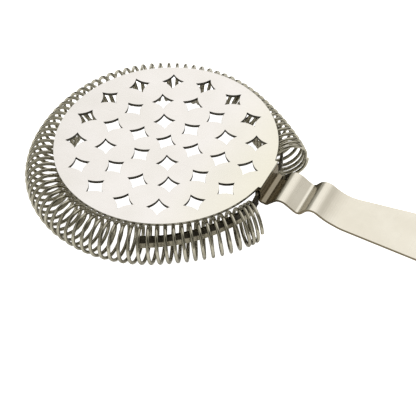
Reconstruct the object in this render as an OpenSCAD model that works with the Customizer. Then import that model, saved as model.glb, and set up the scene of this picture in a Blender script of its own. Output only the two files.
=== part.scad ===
// Hawthorne cocktail strainer: a pierced disc, a waved strap handle, and a coil spring
// that hangs in a C on two bent strips. Origin at the centre of the disc's top face,
// +X along the handle, +Z up out of the disc's top.

/* [Disc] */
// Radius of the disc
disc_r = 38; // [34:0.5:42]
// Thickness of the disc's sheet
disc_t = 1.1; // [0.8:0.1:1.4]
// Spacing of the rings of star holes
star_ring = 10.15; // [9.8:0.05:10.4]
// Reach of a star's points from its centre
star_tip = 3.8; // [2.6:0.1:3.8]
// Depth of the hollow in each side of a star
star_hollow = 0.5; // [0.1:0.1:0.8]
// Width of the straight lip where the handle leaves the disc
lip_w = 13.4; // [12:0.1:14]

/* [Handle] */
// Thickness of the handle's sheet
strap_t = 0.9; // [0.7:0.1:1]
// Width of the waved stretch
strap_w = 14; // [12:0.5:15]
// Widest part of the grip, near its end
grip_w = 24.6; // [18:1:28]
// Distance from the disc's centre to the handle's far end
handle_reach = 135; // [115:1:150]
// Depth of the flat grip's top below the disc's top
grip_drop = 6.45; // [5.5:0.05:7.5]

/* [Spring] */
// Outer diameter of the coil
coil_d = 14; // [13.4:0.1:14]
// Diameter of the spring wire
wire_d = 1.2; // [0.9:0.05:1.2]
// Turns along the open stretch
open_turns = 76; // [60:1:80]
// Turns bunched together at each end
end_turns = 3; // [1:1:4]
// Sideways hang of the loose spring
side_hang = -1.2; // [-1.2:0.1:0]
// Lean of the bunched turns at the two ends
end_lean = 24; // [0:1:24]

/* [Strips] */
// Height of the strips where they enter the spring
strip_root_h = 4.7; // [3.6:0.1:4.8]
// Height of the strips at their free tips
strip_tip_h = 4.4; // [3:0.1:4.8]
// Angle from the handle to the strips' free tips
strip_reach = 76; // [50:1:80]

/* [Hidden] */
$fn = 96;

steel = [0.86, 0.85, 0.82];
strap_steel = [0.84, 0.82, 0.75];
wire_steel = [0.62, 0.61, 0.57];
weld_steel = [0.7, 0.68, 0.64];

// Star holes: [ring, number of stars], each ring with one star on the handle's line.
star_rings = [[1, 6], [2, 12], [3, 16]];
star_side = star_tip * sqrt(2);
hollow_r = (star_side * star_side / 4 + star_hollow * star_hollow) / (2 * star_hollow);
hollow_at = star_side / 2 + hollow_r - star_hollow;
lip_x = disc_r + 0.4;

// Waved strap: corners of its middle line, [x, z, bend radius].
mid_top = -disc_t - strap_t / 2;
drop_x = lip_x - strap_t / 2;
tongue_x = 34.4;
grip_z = -grip_drop - strap_t / 2;
valley_z = -6.7;
crest_z = -2.4;
wave = [
    [tongue_x, mid_top, 0],
    [drop_x, mid_top, 0.6],
    [drop_x, valley_z + 0.45, 1],
    [40.3, valley_z, 0.9],
    [45, crest_z + 0.1, 3.4],
    [51.7, valley_z - 0.1, 1.8],
    [55.8, crest_z + 0.3, 3.4],
    [63.3, grip_z, 16],
    [handle_reach, grip_z, 0]
];
flare_x = 64;
grip_round = grip_w / 2;

// Strips that hold the spring: a band behind the strap's drop, then an arc under the rim.
// Seen along the handle their top runs low behind the drop, then by shoulder_y is high
// on the -Y side and low on the +Y side, and reaches inner_top where they enter the spring.
band_t = 0.9;
band_r = disc_r + 1.05;
band_x = drop_x - strap_t / 2 - band_t / 2;
leave_y = strap_w / 2 + 0.35;
leave_angle = 13;
drop_top = -disc_t - strap_t - 0.45;
shoulder_tops = [-disc_t - 0.3, -disc_t - 2.3];
shoulder_low = -disc_t - 4.7;
shoulder_y = 9.2;
inner_top = -disc_t - 2.55;
inner_angle = 17;
strip_rise = 0.041;
strip_fall = 0.001325;

// Coil: its middle line is a C of radius ring_r(a), a sum of cosines of the angle a.
ring_waves = [40.17, 0, 1.36, 1.8, 0.56, 0.3];
coil_r = (coil_d - wire_d) / 2;
rim_gap = 0.25;
near_sag = 0.45;
end_angle = 20;
end_pitches = [2.7, 2];
lean_reach = 70;
lean_span = 50;
wire_sides = 6;
steps = 12;
turns = open_turns + 2 * end_turns;

// Spot welds: lap under the disc, and strips to the strap's drop.
weld_d = 2.4;
weld_h = 0.8;
lap_weld = [36, 4, -disc_t];
band_weld = [drop_x - strap_t / 2, 4, -4.1];

// Points of a path with round corners; each corner is [x, y, radius].
function along(a, b) = (b - a) / norm(b - a);
function corner(a, b, c, r) =
    let (u = along(b, a), v = along(b, c), half = acos(u * v) / 2,
         m = (u + v) / norm(u + v), o = b + m * r / sin(half),
         a0 = atan2((b + u * r / tan(half) - o)[1], (b + u * r / tan(half) - o)[0]),
         a1 = atan2((b + v * r / tan(half) - o)[1], (b + v * r / tan(half) - o)[0]),
         turn = (a1 - a0 + 540) % 360 - 180)
    [for (k = [0:8]) o + r * [cos(a0 + turn * k / 8), sin(a0 + turn * k / 8)]];
function flat(p) = [p[0], p[1]];
function rounded(p) = [
    flat(p[0]),
    for (i = [1:len(p) - 2])
        each corner(flat(p[i - 1]), flat(p[i]), flat(p[i + 1]), p[i][2]),
    flat(p[len(p) - 1])
];

// Outline of a strip of thickness t on both sides of a path.
function heading(path, i) =
    let (n = len(path) - 1) along(path[max(i - 1, 0)], path[min(i + 1, n)]);
function side(path, i, d) = path[i] + d * [-heading(path, i)[1], heading(path, i)[0]];
function strip(path, t) = [
    for (i = [0:len(path) - 1]) side(path, i, t / 2),
    for (i = [len(path) - 1:-1:0]) side(path, i, -t / 2)
];

// Middle line of the coil at angle a from the handle, hung up against the rim near its ends,
// and a little lower at the end that comes last.
function ring_r(a) = ring_waves * [for (k = [0:len(ring_waves) - 1]) cos(k * a)] + side_hang * sin(a);
function rim_z(r) = -disc_t - rim_gap - sqrt(pow(coil_d / 2, 2) - pow(max(r - disc_r, 0), 2));
function sag(a) = a > 180 ? near_sag * max(cos(a) - 0.5, 0) / 0.44 : 0;
function ring_z(a) = cos(a) > 0.5 ? rim_z(ring_r(a)) - sag(a) : -disc_t - rim_gap - coil_d / 2;
function ring_point(a) = [ring_r(a) * cos(a), ring_r(a) * sin(a), ring_z(a)];

// Angle round the ring after u turns: slow over the bunched turns, then even.
open_pitch =
    (360 - 2 * end_angle - end_turns * (end_pitches[0] + end_pitches[1])) / open_turns;
function turn_angle(u) =
    end_angle + end_pitches[0] * min(u, end_turns)
    + open_pitch * min(max(u - end_turns, 0), open_turns)
    + end_pitches[1] * max(u - end_turns - open_turns, 0);

// Turns near both ends lean over, so that they face along the handle.
function from_handle(a) = min(a, 360 - a);
function lean(a) =
    sign(180 - a) * end_lean * min(max((lean_reach - from_handle(a)) / lean_span, 0), 1);
function out(u) =
    let (a = turn_angle(u) + lean(turn_angle(u))) [cos(a), sin(a), 0];
function around(u) = cos(360 * u) * out(u) - sin(360 * u) * [0, 0, 1];
function wire_point(u) = ring_point(turn_angle(u)) + coil_r * around(u);
function wire_ring(u) =
    let (d = wire_point(u + 0.01) - wire_point(u - 0.01), n2 = cross(d / norm(d), around(u)))
    [for (j = [0:wire_sides - 1])
        wire_point(u) + wire_d / 2 * (cos(360 * j / wire_sides) * around(u)
                                      + sin(360 * j / wire_sides) * n2)];

module star() {
    difference() {
        rotate(45) square(star_side, center = true);
        for (k = [0:3]) rotate(45 + 90 * k) translate([hollow_at, 0]) circle(hollow_r);
    }
}

module strainer_plate() {
    color(steel)
    difference() {
        translate([0, 0, -disc_t]) linear_extrude(disc_t) difference() {
            union() {
                circle(disc_r, $fn = 180);
                translate([disc_r - 6, -lip_w / 2]) square([lip_x - disc_r + 6, lip_w]);
            }
            star();
            for (ring = star_rings, k = [0:ring[1] - 1])
                rotate(360 * k / ring[1]) translate([star_ring * ring[0], 0]) star();
        }
        lap_welds();
    }
}

module handle_plan() {
    // Plain waved stretch, then the flare, then the round end.
    translate([tongue_x - 1, -strap_w / 2]) square([flare_x - tongue_x + 1, strap_w]);
    polygon([
        [flare_x, -strap_w / 2],
        [handle_reach - grip_round, -grip_w / 2],
        [handle_reach - grip_round, grip_w / 2],
        [flare_x, strap_w / 2]
    ]);
    translate([handle_reach - grip_round, 0]) circle(grip_round);
}

module handle_strap() {
    color(strap_steel)
    difference() {
        intersection() {
            rotate([90, 0, 0]) translate([0, 0, -grip_w]) linear_extrude(2 * grip_w)
                polygon(strip(rounded(wave), strap_t));
            translate([0, 0, -20]) linear_extrude(20) handle_plan();
        }
        lap_welds();
        band_welds();
    }
}

// Half of the band's middle line, from the handle's line out to one free tip.
function half_band(s) = [
    [band_x, s * leave_y],
    for (a = [leave_angle:3.5:strip_reach]) band_r * [cos(a), s * sin(a)]
];

// One strip seen along the handle: its top arches, then falls towards its tip.
function strip_top(a) =
    inner_top + (a - inner_angle) * (strip_rise - strip_fall * (a - inner_angle));
function strip_h(a) = strip_root_h
    - (strip_root_h - strip_tip_h) * (a - inner_angle) / (strip_reach - inner_angle);
function half_front(shoulder_top) =
    let (angles = [for (a = [inner_angle:8:strip_reach + 6]) a], last = len(angles) - 1)
    [
        [leave_y - 0.1, drop_top],
        if (shoulder_top > drop_top) [leave_y - 0.1, shoulder_top],
        [shoulder_y, shoulder_top],
        for (a = angles) [band_r * sin(a), strip_top(a)],
        for (i = [last:-1:0]) [band_r * sin(angles[i]), strip_top(angles[i]) - strip_h(angles[i])],
        [shoulder_y, shoulder_low]
    ];

module band_front() {
    near = half_front(shoulder_tops[0]);
    far = half_front(shoulder_tops[1]);
    polygon([
        for (p = far) p,
        for (i = [len(near) - 1:-1:0]) [-near[i][0], near[i][1]]
    ]);
}

module spring_band() {
    halves = [half_band(-1), half_band(1)];
    path = [
        for (i = [len(halves[0]) - 1:-1:0]) halves[0][i],
        for (p = halves[1]) p
    ];
    color(strap_steel)
    difference() {
        intersection() {
            translate([0, 0, -20]) linear_extrude(20) polygon(strip(path, band_t));
            rotate([90, 0, 90]) linear_extrude(60) band_front();
        }
        band_welds();
    }
}

module coil_spring() {
    rings = turns * steps;
    color(wire_steel)
    polyhedron(
        points = [for (i = [0:rings]) each wire_ring(i / steps)],
        faces = [
            [for (j = [0:wire_sides - 1]) j],
            for (i = [0:rings - 1], j = [0:wire_sides - 1])
                let (a = i * wire_sides + j, b = i * wire_sides + (j + 1) % wire_sides)
                each [[a, a + wire_sides, b], [b, a + wire_sides, b + wire_sides]],
            [for (j = [wire_sides - 1:-1:0]) rings * wire_sides + j]
        ]
    );
}

module lap_welds() {
    for (s = [-1, 1]) translate([lap_weld[0], s * lap_weld[1], lap_weld[2]])
        cylinder(h = weld_h, d = weld_d, center = true);
}

module band_welds() {
    for (s = [-1, 1]) translate([band_weld[0], s * band_weld[1], band_weld[2]])
        rotate([0, 90, 0]) cylinder(h = weld_h, d = weld_d, center = true);
}

module spot_welds() {
    color(weld_steel) {
        lap_welds();
        band_welds();
    }
}

strainer_plate();
handle_strap();
spring_band();
coil_spring();
spot_welds();
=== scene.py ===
from math import acos, cos, pi, radians, sin, sqrt, tan
import bmesh
import bpy
from mathutils import Matrix, Vector


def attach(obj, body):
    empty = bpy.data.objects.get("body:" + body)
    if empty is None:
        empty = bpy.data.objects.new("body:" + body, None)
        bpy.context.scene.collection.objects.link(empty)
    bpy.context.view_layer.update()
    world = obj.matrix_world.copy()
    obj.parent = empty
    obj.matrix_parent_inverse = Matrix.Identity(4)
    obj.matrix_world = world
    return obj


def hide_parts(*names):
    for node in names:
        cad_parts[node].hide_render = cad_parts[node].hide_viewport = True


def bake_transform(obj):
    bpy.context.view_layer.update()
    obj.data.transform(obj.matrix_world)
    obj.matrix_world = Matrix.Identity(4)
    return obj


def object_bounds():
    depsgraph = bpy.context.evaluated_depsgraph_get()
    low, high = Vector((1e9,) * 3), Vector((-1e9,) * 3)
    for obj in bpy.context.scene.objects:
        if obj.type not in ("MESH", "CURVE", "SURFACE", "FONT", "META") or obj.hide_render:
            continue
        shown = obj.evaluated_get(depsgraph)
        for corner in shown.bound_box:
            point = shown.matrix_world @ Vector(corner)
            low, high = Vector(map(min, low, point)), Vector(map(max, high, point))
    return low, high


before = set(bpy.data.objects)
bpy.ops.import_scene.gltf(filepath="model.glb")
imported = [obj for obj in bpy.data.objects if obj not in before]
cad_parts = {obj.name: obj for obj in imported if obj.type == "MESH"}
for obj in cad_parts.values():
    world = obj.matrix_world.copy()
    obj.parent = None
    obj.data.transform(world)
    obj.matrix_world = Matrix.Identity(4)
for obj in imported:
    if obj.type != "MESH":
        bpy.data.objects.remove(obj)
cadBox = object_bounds()
scene = bpy.context.scene


# materials

class Sock:
    # wraps one shader socket, so that node maths reads as plain sums
    def __init__(self, paint, socket):
        self.paint = paint
        self.socket = socket

    def maths(self, operation, first, second):
        return self.paint.node("ShaderNodeMath", {"operation": operation}, {0: first, 1: second})

    def __add__(self, other):
        return self.maths("ADD", self, other)

    __radd__ = __add__

    def __sub__(self, other):
        return self.maths("SUBTRACT", self, other)

    def __rsub__(self, other):
        return self.maths("SUBTRACT", other, self)

    def __mul__(self, other):
        return self.maths("MULTIPLY", self, other)

    __rmul__ = __mul__


class Paint:
    # one material, or the sky, being mixed
    def __init__(self, owner):
        owner.use_nodes = True
        self.owner = owner
        self.tree = owner.node_tree

    def feed(self, socket, value):
        if isinstance(value, Sock):
            self.tree.links.new(value.socket, socket)
        else:
            socket.default_value = value

    def node(self, kind, settings=None, inputs=None, output=0):
        made = self.tree.nodes.new(kind)
        for key, value in (settings or {}).items():
            setattr(made, key, value)
        for key, value in (inputs or {}).items():
            self.feed(made.inputs[key], value)
        return Sock(self, made.outputs[output])

    def place(self, scale=(1, 1, 1), turn=0):
        # the piece's own coordinates in metres, stretched and turned about Z
        coords = self.node("ShaderNodeTexCoord", output="Object")
        return self.node("ShaderNodeMapping", None,
                         {"Vector": coords, "Scale": scale, "Rotation": (0, 0, turn)})

    def noise(self, size, detail, scale=(1, 1, 1), turn=0, roughness=0.55):
        # blotches about `size` metres across
        return self.node("ShaderNodeTexNoise", None, {
            "Vector": self.place(scale, turn), "Scale": 1 / size,
            "Detail": detail, "Roughness": roughness})

    def range(self, value, low, high, toLow=0.0, toHigh=1.0):
        return self.node("ShaderNodeMapRange", {"clamp": True}, {
            "Value": value, "From Min": low, "From Max": high,
            "To Min": toLow, "To Max": toHigh})

    def blend(self, factor, first, second):
        # a Mix node in colour mode uses its sockets 6 and 7, and its third result
        colours = [c if isinstance(c, Sock) else (*c, 1) for c in (first, second)]
        return self.node("ShaderNodeMix", {"data_type": "RGBA"},
                         {0: factor, 6: colours[0], 7: colours[1]}, output=2)

    def axis(self, vector, letter):
        return self.node("ShaderNodeSeparateXYZ", None, {0: vector}, output=letter)

    def bump(self, height, depth):
        return self.node("ShaderNodeBump", None, {"Height": height, "Distance": depth})

    def finish(self, fixed, varying):
        shader = self.tree.nodes["Principled BSDF"]
        for key, value in {**fixed, **varying}.items():
            self.feed(shader.inputs[key], value)
        return self.owner


# steel finishes: clean and dull tint, painted shade and reflection tint of cut or upright faces,
# roughness and its spread, size of blotches, grain size and stretch, bump depth, share of the
# painted upright shade on slopes
steels = {
    "plateSatin": {
        "clean": (0.89, 0.868, 0.84), "dull": (0.848, 0.827, 0.785),
        "uprightShade": (0.075, 0.07, 0.055),
        "rough": 0.26, "roughSpread": 0.06, "blotch": 0.018, "grain": 0.00022,
        "stretch": (0.03, 1, 1), "depth": 0.0000006, "slopeShadeShare": 0.0,
        # a straw tint towards the handle, and a painted highlight on the rim's cut face, which the
        # punched holes' cut faces don't get
        "straw": (0.834, 0.813, 0.653), "strawAlong": (0.012, 0.038), "strawMost": 0.7,
        "rim": (0.34, 0.32, 0.26), "rimFrom": 0.037},
    "strapSatin": {
        "clean": (0.82, 0.79, 0.69), "dull": (0.765, 0.73, 0.625), "uprightShade": (0.20, 0.165, 0.105),
        "rough": 0.24, "roughSpread": 0.06, "blotch": 0.012, "grain": 0.00025,
        "stretch": (1, 0.03, 1), "depth": 0.0000006, "slopeShadeShare": 0.65,
        # a painted reflection tints the drop brown as far as the first fold
        "dropReflectionTo": 0.04, "dropReflectionMost": 0.85},
    # the band's dark tints are painted shade under the disc's edge
    "bandShaded": {
        "clean": (0.12, 0.11, 0.08), "dull": (0.05, 0.045, 0.032), "uprightShade": (0.03, 0.026, 0.018),
        "rough": 0.28, "roughSpread": 0.10, "blotch": 0.004, "grain": 0.0002,
        "stretch": (1, 1, 4), "depth": 0.000001, "slopeShadeShare": 0.0,
        # a painted reflection makes the lower half bright: crest and curve of the strip's top edge,
        # and how far below that edge the painted shade ends
        "reflectedLower": (0.42, 0.39, 0.30), "crestX": 0.0316, "crestZ": -0.00335, "curve": 5.1,
        "shadeDepth": 0.0026},
    "weldFused": {
        "clean": (0.62, 0.59, 0.54), "dull": (0.40, 0.37, 0.33), "uprightShade": (0.45, 0.40, 0.34),
        "rough": 0.45, "roughSpread": 0.2, "blotch": 0.0006, "grain": 0.0001,
        "stretch": (1, 1, 1), "depth": 0.00001, "slopeShadeShare": 0.0}}


# what all the sheets share
sheetSpec = {
    "blotchShows": (0.35, 0.7), "scratchShows": (0.62, 0.72), "scratchSize": 3, "scratchTurn": 0.35,
    # square of a face's rise, from upright towards level, for the painted shade masks
    "uprightRise": (0.02, 0.35), "slopeRise": (0.45, 0.97), "uprightGrain": (0.85, 0.2),
    "grainRough": 0.05, "scratchRough": 0.05, "scratchDepth": 0.4,
    # widths over which one tint turns into the next
    "dropReflectionEdge": 0.0003, "rimEdge": 0.0002, "shadeEdge": 0.0002}


def sheetSteel(name):
    look = steels[name]
    spec = sheetSpec
    paint = Paint(bpy.data.materials.new(name))
    blotches = paint.noise(look["blotch"], 4)
    grain = paint.noise(look["grain"], 2, look["stretch"])
    marks = paint.noise(
        look["grain"] * spec["scratchSize"], 5, look["stretch"], spec["scratchTurn"])
    scratches = paint.range(marks, *spec["scratchShows"])
    tint = paint.blend(
        paint.range(blotches, *spec["blotchShows"]), look["clean"], look["dull"])
    # cut edges and the steep drop are painted darker and warmer than the rolled faces: painted shade
    # on the edges, and a painted reflection on the drop
    normal = paint.node("ShaderNodeNewGeometry", output="True Normal")
    rise = paint.axis(normal, "Z")
    base, spread = spec["uprightGrain"]
    uprightShade = paint.range(rise * rise, *spec["uprightRise"], 1.0, 0.0) * (base + spread * grain)
    # sloping faces take part of the upright tint as painted shade
    slopeShade = paint.range(rise * rise, *spec["slopeRise"], look["slopeShadeShare"], 0.0)
    along = paint.axis(paint.place(), "X")
    cutShadeTint = look["uprightShade"]
    # painted reflection: the drop face is tinted brown up to the first fold
    if "dropReflectionTo" in look:
        dropReflection = paint.range(along, look["dropReflectionTo"], look["dropReflectionTo"] + spec["dropReflectionEdge"],
                           look["dropReflectionMost"], 0.0)
        uprightShade = paint.node("ShaderNodeMath", {"operation": "MAXIMUM"}, {0: uprightShade, 1: dropReflection})
    if "straw" in look:
        straw = paint.range(along, *look["strawAlong"], 0.0, look["strawMost"])
        tint = paint.blend(straw, tint, look["straw"])
        outward = paint.node("ShaderNodeVectorMath", {"operation": "LENGTH"},
                             {0: paint.place((1, 1, 0))}, output="Value")
        # the outer rim's cut face gets a painted highlight, the holes' cut faces keep the painted
        # shade tint
        cutShadeTint = paint.blend(
            paint.range(outward, look["rimFrom"], look["rimFrom"] + spec["rimEdge"]),
            look["uprightShade"], look["rim"])
    # painted shade darkens the band's upright faces down to a curve below the top edge, and a
    # painted reflection lightens them below it
    if "reflectedLower" in look:
        back = look["crestX"] - along
        below = look["crestZ"] - look["curve"] * back * back - paint.axis(paint.place(), "Z")
        cutShadeTint = paint.blend(
            paint.range(below, look["shadeDepth"] - spec["shadeEdge"],
                        look["shadeDepth"] + spec["shadeEdge"]),
            look["uprightShade"], look["reflectedLower"])
    # painted shade on slopes first, then the painted shade, reflection or highlight tint of upright
    # faces
    tint = paint.blend(uprightShade, paint.blend(slopeShade, tint, look["uprightShade"]), cutShadeTint)
    rough = (look["rough"] + look["roughSpread"] * (blotches - 0.5)
             + spec["grainRough"] * (grain - 0.5))
    return paint.finish(
        {"Metallic": 1.0},
        {"Base Color": tint, "Roughness": rough + spec["scratchRough"] * scratches,
         "Normal": paint.bump(grain - spec["scratchDepth"] * scratches, look["depth"])})


wireFinish = {
    "clean": (0.54, 0.515, 0.42), "dull": (0.34, 0.32, 0.25), "patchShows": (0.4, 0.75),
    "rough": 0.10, "patchRough": 0.08, "dieRough": 0.03, "blotch": 0.004,
    "die": 0.00012, "depth": 0.0000008}


def wireSteel():
    # drawn wire: bright, with faint die lines and dull patches
    look = wireFinish
    paint = Paint(bpy.data.materials.new("wireDrawn"))
    patches = paint.noise(look["blotch"], 4)
    dieLines = paint.noise(look["die"], 2)
    tint = paint.blend(paint.range(patches, *look["patchShows"]), look["clean"], look["dull"])
    return paint.finish(
        {"Metallic": 1.0},
        {"Base Color": tint,
         "Roughness": look["rough"] + look["patchRough"] * patches + look["dieRough"] * dieLines,
         "Normal": paint.bump(dieLines, look["depth"])})


finishes = {name: sheetSteel(name) for name in steels}
finishes["wireDrawn"] = wireSteel()
print("materials mixed:", ", ".join(finishes))


# shared helpers for pieces

mergeGap = 0.000002  # points closer than this become one


def addPiece(name, mesh, finish, node, body=None):
    piece = bpy.data.objects.new(name, mesh)
    scene.collection.objects.link(piece)
    mesh.materials.clear()
    mesh.materials.append(finishes[finish])
    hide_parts(node)
    if body:
        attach(piece, body)
    return piece


def meshOfCurve(curve):
    # a curve's evaluated surface as a plain mesh
    holder = bpy.data.objects.new(curve.name, curve)
    scene.collection.objects.link(holder)
    depsgraph = bpy.context.evaluated_depsgraph_get()
    mesh = bpy.data.meshes.new_from_object(holder.evaluated_get(depsgraph))
    bpy.data.objects.remove(holder)
    return mesh


def closeSeams(mesh):
    body = bmesh.new()
    body.from_mesh(mesh)
    bmesh.ops.remove_doubles(body, verts=body.verts, dist=mergeGap)
    bmesh.ops.recalc_face_normals(body, faces=body.faces)
    body.to_mesh(mesh)
    body.free()


def smoothBy(mesh, degrees):
    for polygon in mesh.polygons:
        polygon.use_smooth = True
    mesh.set_sharp_from_angle(angle=radians(degrees))


# disc with its star holes

plateSpec = {
    "radius": 0.038, "thickness": 0.0011, "lipWidth": 0.0134, "lipReach": 0.0384,
    "starReach": 0.0038, "starHollow": 0.0005, "ringStep": 0.01015,
    "rings": ((0, 1), (1, 6), (2, 12), (3, 16)), "soft": 0.00008, "softSteps": 2,
    "rimSteps": 160, "sideSteps": 8, "sharpFrom": 35, "levelFrom": 0.999}


def starOutline(centre, turn):
    # four points joined by hollow sides, run clockwise because it is a hole
    reach = plateSpec["starReach"]
    hollow = plateSpec["starHollow"]
    steps = plateSpec["sideSteps"]
    corners = [turn - corner * pi / 2 for corner in range(5)]
    tips = [Vector((cos(angle), sin(angle))) * reach for angle in corners]
    points = []
    for start, end in zip(tips, tips[1:]):
        inward = -(start + end).normalized()
        for step in range(steps):
            t = step / steps
            bow = hollow * 4 * t * (1 - t)
            points.append(start.lerp(end, t) + inward * bow + centre)
    return points


def rimOutline():
    # round rim, then out along the straight lip towards the handle
    half = plateSpec["lipWidth"] / 2
    start = acos(sqrt(plateSpec["radius"] ** 2 - half ** 2) / plateSpec["radius"])
    steps = plateSpec["rimSteps"]
    angles = [start + (2 * pi - 2 * start) * i / steps for i in range(steps + 1)]
    points = [Vector((cos(angle), sin(angle))) * plateSpec["radius"] for angle in angles]
    return points + [Vector((plateSpec["lipReach"], -half)), Vector((plateSpec["lipReach"], half))]


def makePlate():
    curve = bpy.data.curves.new("disc", "CURVE")
    curve.dimensions = "2D"
    curve.fill_mode = "BOTH"
    curve.extrude = plateSpec["thickness"] / 2 - plateSpec["soft"]
    curve.bevel_depth = plateSpec["soft"]
    curve.bevel_resolution = plateSpec["softSteps"]
    curve.offset = -plateSpec["soft"]
    outlines = [rimOutline()]
    for ring, count in plateSpec["rings"]:
        for k in range(count):
            turn = 2 * pi * k / count
            centre = Vector((cos(turn), sin(turn))) * ring * plateSpec["ringStep"]
            outlines.append(starOutline(centre, turn))
    for outline in outlines:
        spline = curve.splines.new("POLY")
        spline.points.add(len(outline) - 1)
        for point, at in zip(spline.points, outline):
            point.co = (at.x, at.y, 0, 1)
        spline.use_cyclic_u = True
    mesh = meshOfCurve(curve)
    mesh.transform(Matrix.Translation((0, 0, -plateSpec["thickness"] / 2)))
    closeSeams(mesh)
    smoothBy(mesh, plateSpec["sharpFrom"])
    for polygon in mesh.polygons:
        if abs(polygon.normal.z) > plateSpec["levelFrom"]:
            polygon.use_smooth = False
    return addPiece("strainerDisc", mesh, "plateSatin", "strainer_plate", "frame")


disc = makePlate()
print("disc:", len(disc.data.polygons), "faces")


# handle strap

strapSpec = {
    "thickness": 0.0009, "width": 0.014, "gripWidth": 0.0246, "flareFrom": 0.064, "reach": 0.135,
    # corners of the middle line: along the handle, height, bend radius
    "wave": (
        (0.0344, -0.00155, 0), (0.03795, -0.00155, 0.0006), (0.03795, -0.00625, 0.001),
        (0.0403, -0.0067, 0.0009), (0.045, -0.0023, 0.0034), (0.0517, -0.0068, 0.0018),
        (0.0558, -0.0021, 0.0034), (0.0633, -0.0069, 0.016), (0.1227, -0.0069, 0)),
    # the round end stops short of a point, in degrees
    "bendSteps": 10, "endSteps": 28, "endTurn": 87, "soft": 0.00016, "softFrom": 60}


def roundCorner(before, corner, after, radius, steps):
    back = (before - corner).normalized()
    ahead = (after - corner).normalized()
    half = acos(max(-1, min(1, back.dot(ahead)))) / 2
    centre = corner + (back + ahead).normalized() * radius / sin(half)
    first = corner + back * radius / tan(half) - centre
    last = corner + ahead * radius / tan(half) - centre
    turn = first.angle_signed(last)
    return [centre + Matrix.Rotation(-turn * k / steps, 2) @ first for k in range(steps + 1)]


def strapLine():
    # middle line from the lap to the grip, with every bend rounded
    corners = [Vector(c[:2]) for c in strapSpec["wave"]]
    radii = [c[2] for c in strapSpec["wave"]]
    points = [corners[0]]
    for i in range(1, len(corners) - 1):
        points += roundCorner(corners[i - 1], corners[i], corners[i + 1], radii[i],
                              strapSpec["bendSteps"])
    points.append(corners[-1])
    return points


def strapRows():
    # place along the handle, height and half width, on to the round end
    spec = strapSpec
    endRound = spec["gripWidth"] / 2
    endFrom = spec["reach"] - endRound
    rows = []
    for point in strapLine():
        flare = max(0, (point.x - spec["flareFrom"]) / (endFrom - spec["flareFrom"]))
        half = spec["width"] / 2 + flare * (spec["gripWidth"] - spec["width"]) / 2
        rows.append((point.x, point.y, half))
    gripZ = spec["wave"][-1][1]
    for k in range(1, spec["endSteps"] + 1):
        turn = radians(spec["endTurn"]) * k / spec["endSteps"]
        rows.append((endFrom + endRound * sin(turn), gripZ, endRound * cos(turn)))
    return rows


def makeStrap():
    spec = strapSpec
    rows = strapRows()
    body = bmesh.new()
    line = [body.verts.new((x, 0, z)) for x, z, _ in rows]
    edges = [body.edges.new(pair) for pair in zip(line, line[1:])]
    grown = bmesh.ops.extrude_edge_only(body, edges=edges)["geom"]
    farSide = {v for v in grown if isinstance(v, bmesh.types.BMVert)}
    for near, (_, _, half) in zip(line, rows):
        across = [edge.other_vert(near) for edge in near.link_edges]
        near.co.y = -half
        next(v for v in across if v in farSide).co.y = half
    bmesh.ops.recalc_face_normals(body, faces=body.faces)
    mesh = bpy.data.meshes.new("strap")
    body.to_mesh(mesh)
    body.free()
    for polygon in mesh.polygons:
        polygon.use_smooth = True
    piece = addPiece("handleStrap", mesh, "strapSatin", "handle_strap", "frame")
    wall = piece.modifiers.new("wall", "SOLIDIFY")
    wall.thickness = spec["thickness"]
    wall.offset = 0
    wall.use_even_offset = True
    soften = piece.modifiers.new("soften", "BEVEL")
    soften.width = spec["soft"]
    soften.segments = 2
    soften.limit_method = "ANGLE"
    soften.angle_limit = radians(spec["softFrom"])
    soften.harden_normals = True
    return piece


strap = makeStrap()
print("strap:", len(strap.data.polygons), "faces before its wall")


# coil spring

coilSpec = {
    "wire": 0.0006, "turn": 0.0064, "openTurns": 76, "endTurns": 3, "endAngle": radians(20),
    "endPitches": (radians(2.7), radians(2)),
    # the ring's radius as a sum of cosines of the angle, which makes the C a little oval
    "ringWaves": (0.04017, 0, 0.00136, 0.0018, 0.00056, 0.0003),
    "sideHang": -0.0012, "rimRadius": 0.038, "rimHeight": -0.0011, "rimGap": 0.00025,
    "nearSag": 0.00045, "sagFrom": 0.5, "sagSpan": 0.44,
    "lean": radians(24), "leanReach": radians(70), "leanSpan": radians(50),
    "stepsPerTurn": 32, "roundSteps": 3, "sharpFrom": 50,
    # places along the handle where the blend from frame to spring starts and ends
    "heldAt": 0.036, "freeAt": -0.03}


def turnAngle(u):
    spec = coilSpec
    far, near = spec["endPitches"]
    openSpan = 2 * pi - 2 * spec["endAngle"] - spec["endTurns"] * (far + near)
    openPitch = openSpan / spec["openTurns"]
    return (spec["endAngle"] + far * min(u, spec["endTurns"])
            + openPitch * min(max(u - spec["endTurns"], 0), spec["openTurns"])
            + near * max(u - spec["endTurns"] - spec["openTurns"], 0))


def ringCentre(a):
    # middle of the turn at angle a from the handle
    spec = coilSpec
    radius = sum(w * cos(k * a) for k, w in enumerate(spec["ringWaves"]))
    radius += spec["sideHang"] * sin(a)
    outer = spec["turn"] + spec["wire"]
    height = spec["rimHeight"] - spec["rimGap"] - outer
    if cos(a) > spec["sagFrom"]:
        height += outer - sqrt(outer ** 2 - max(radius - spec["rimRadius"], 0) ** 2)
        if a > pi:
            height -= spec["nearSag"] * (cos(a) - spec["sagFrom"]) / spec["sagSpan"]
    return Vector((radius * cos(a), radius * sin(a), height))


def wirePoint(u):
    spec = coilSpec
    a = turnAngle(u)
    fromHandle = min(a, 2 * pi - a)
    lean = spec["lean"] * min(max((spec["leanReach"] - fromHandle) / spec["leanSpan"], 0), 1)
    facing = a + (lean if a < pi else -lean)
    outward = Vector((cos(facing), sin(facing), 0))
    spoke = cos(2 * pi * u) * outward - sin(2 * pi * u) * Vector((0, 0, 1))
    return ringCentre(a) + spec["turn"] * spoke


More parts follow.
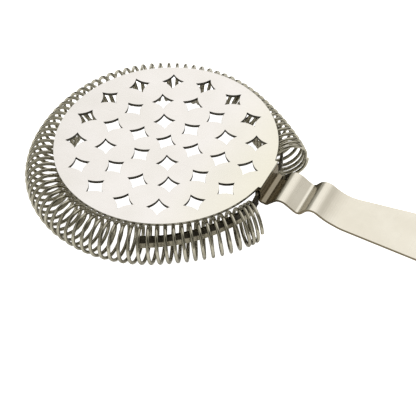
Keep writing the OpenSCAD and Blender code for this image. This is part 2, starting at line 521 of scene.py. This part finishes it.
def makeCoil():
    spec = coilSpec
    count = (spec["openTurns"] + 2 * spec["endTurns"]) * spec["stepsPerTurn"]
    curve = bpy.data.curves.new("coil", "CURVE")
    curve.dimensions = "3D"
    curve.bevel_depth = spec["wire"]
    curve.bevel_resolution = spec["roundSteps"]
    curve.use_fill_caps = True
    spline = curve.splines.new("POLY")
    spline.points.add(count)
    for i, point in enumerate(spline.points):
        point.co = (*wirePoint(i / spec["stepsPerTurn"]), 1)
    mesh = meshOfCurve(curve)
    closeSeams(mesh)
    smoothBy(mesh, spec["sharpFrom"])
    piece = addPiece("coilSpring", mesh, "wireDrawn", "coil_spring")
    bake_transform(piece)
    return piece


coil = makeCoil()
print("coil:", len(coil.data.polygons), "faces")


# carried-over pieces keep their shape and take a finish

for node, finish in (("spring_band", "bandShaded"), ("spot_welds", "weldFused")):
    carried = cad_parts[node]
    carried.data.materials.clear()
    carried.data.materials.append(finishes[finish])


# floor, light and camera

studio = {
    "floorSize": 0.22, "floorTints": ((0.8, 0.8, 0.8), (0.82, 0.82, 0.82)),
    "floorSeen": (1, 1, 1), "floorMirrored": (0.12, 0.115, 0.10),
    # the sky is dark at floor level and grey above it
    "skyDark": (0.02, 0.018, 0.012), "skyMid": (0.44, 0.43, 0.39), "skyEdge": (0.12, 0.3),
    # a dark patch overhead, kept off the front
    "patchDirection": (0.5, -0.38, 0.78), "patchEdge": (0.8, 0.88),
    "frontDirection": (0, -1, 0), "frontEdge": (0.5, 0.62),
    # a wide soft light high on the side away from the camera
    "softDirection": (0.05, 0.66, 0.75), "softEdge": (0.74, 0.86), "softTint": (1.1, 1.08, 1.063),
    "lampAt": (0, 0, 0.9), "lampSize": 0.5, "lampWatts": 5}


def makeFloor():
    body = bmesh.new()
    bmesh.ops.create_grid(body, x_segments=1, y_segments=1, size=studio["floorSize"])
    mesh = bpy.data.meshes.new("floor")
    body.to_mesh(mesh)
    body.free()
    mesh.transform(Matrix.Translation((0, 0, cadBox[0].z)))
    floor = bpy.data.objects.new("floor", mesh)
    scene.collection.objects.link(floor)
    paint = Paint(bpy.data.materials.new("palePaper"))
    # the camera sees clean pale paper, and the steel mirrors it with its real shadows
    seen = paint.node("ShaderNodeLightPath", output="Is Camera Ray")
    mesh.materials.append(paint.finish(
        {"Roughness": 0.9, "Specular IOR Level": 0.1, "Emission Strength": 1.0},
        {"Base Color": paint.blend(paint.noise(0.02, 2), *studio["floorTints"]),
         "Emission Color": paint.blend(seen, studio["floorMirrored"], studio["floorSeen"])}))


def makeSky():
    # grey all round, with a soft light over the far side and a dark patch overhead, for the
    # bands in round wires
    world = bpy.data.worlds.new("studio")
    scene.world = world
    sky = Paint(world)
    heading = sky.node("ShaderNodeTexCoord", output="Generated")

    def near(direction, edge):
        # 0 to 1 as the heading turns towards a direction
        facing = sky.node("ShaderNodeVectorMath", {"operation": "DOT_PRODUCT"},
                          {0: heading, 1: direction}, output="Value")
        return sky.range(facing, *edge)

    grey = sky.blend(sky.range(sky.axis(heading, "Z"), *studio["skyEdge"]),
                     studio["skyDark"], studio["skyMid"])
    patched = sky.blend(near(studio["patchDirection"], studio["patchEdge"]),
                        grey, studio["skyDark"])
    front = sky.blend(near(studio["frontDirection"], studio["frontEdge"]), patched, studio["skyMid"])
    soft = sky.blend(near(studio["softDirection"], studio["softEdge"]),
                     (0, 0, 0), studio["softTint"])
    light = sky.node("ShaderNodeVectorMath", {"operation": "MAXIMUM"}, {0: soft, 1: front})
    background = sky.tree.nodes["Background"]
    sky.feed(background.inputs["Color"], light)
    # behind the object the camera sees plain pale paper
    backdrop = sky.node("ShaderNodeBackground", None, {"Color": (1, 1, 1, 1)})
    seen = sky.node("ShaderNodeLightPath", output="Is Camera Ray")
    chosen = sky.node("ShaderNodeMixShader", None,
                      {0: seen, 1: Sock(sky, background.outputs[0]), 2: backdrop})
    sky.feed(sky.tree.nodes["World Output"].inputs[0], chosen)


def makeLamp():
    # lights the paper from above and is not mirrored in the steel
    lamp = bpy.data.lights.new("overhead", "AREA")
    lamp.size = studio["lampSize"]
    lamp.energy = studio["lampWatts"]
    holder = bpy.data.objects.new("overhead", lamp)
    holder.location = studio["lampAt"]
    holder.visible_glossy = False
    scene.collection.objects.link(holder)


makeFloor()
makeSky()
makeLamp()
print("studio: floor, sky and lamp")

# camera: lens and sensor in millimetres, place in metres, turns in degrees
cameraSpec = {
    "lens": 134.4, "sensor": 36, "nearest": 0.01,
    "at": (0.1922, -0.32705, 0.36153), "turns": (43.788, 2.171, 26.217)}


def makeCamera():
    lens = bpy.data.cameras.new("camera")
    lens.lens = cameraSpec["lens"]
    lens.sensor_width = cameraSpec["sensor"]
    lens.clip_start = cameraSpec["nearest"]
    camera = bpy.data.objects.new("camera", lens)
    camera.location = cameraSpec["at"]
    camera.rotation_euler = [radians(turn) for turn in cameraSpec["turns"]]
    scene.collection.objects.link(camera)
    scene.camera = camera


makeCamera()
scene.view_settings.view_transform = "Standard"
print("camera placed")
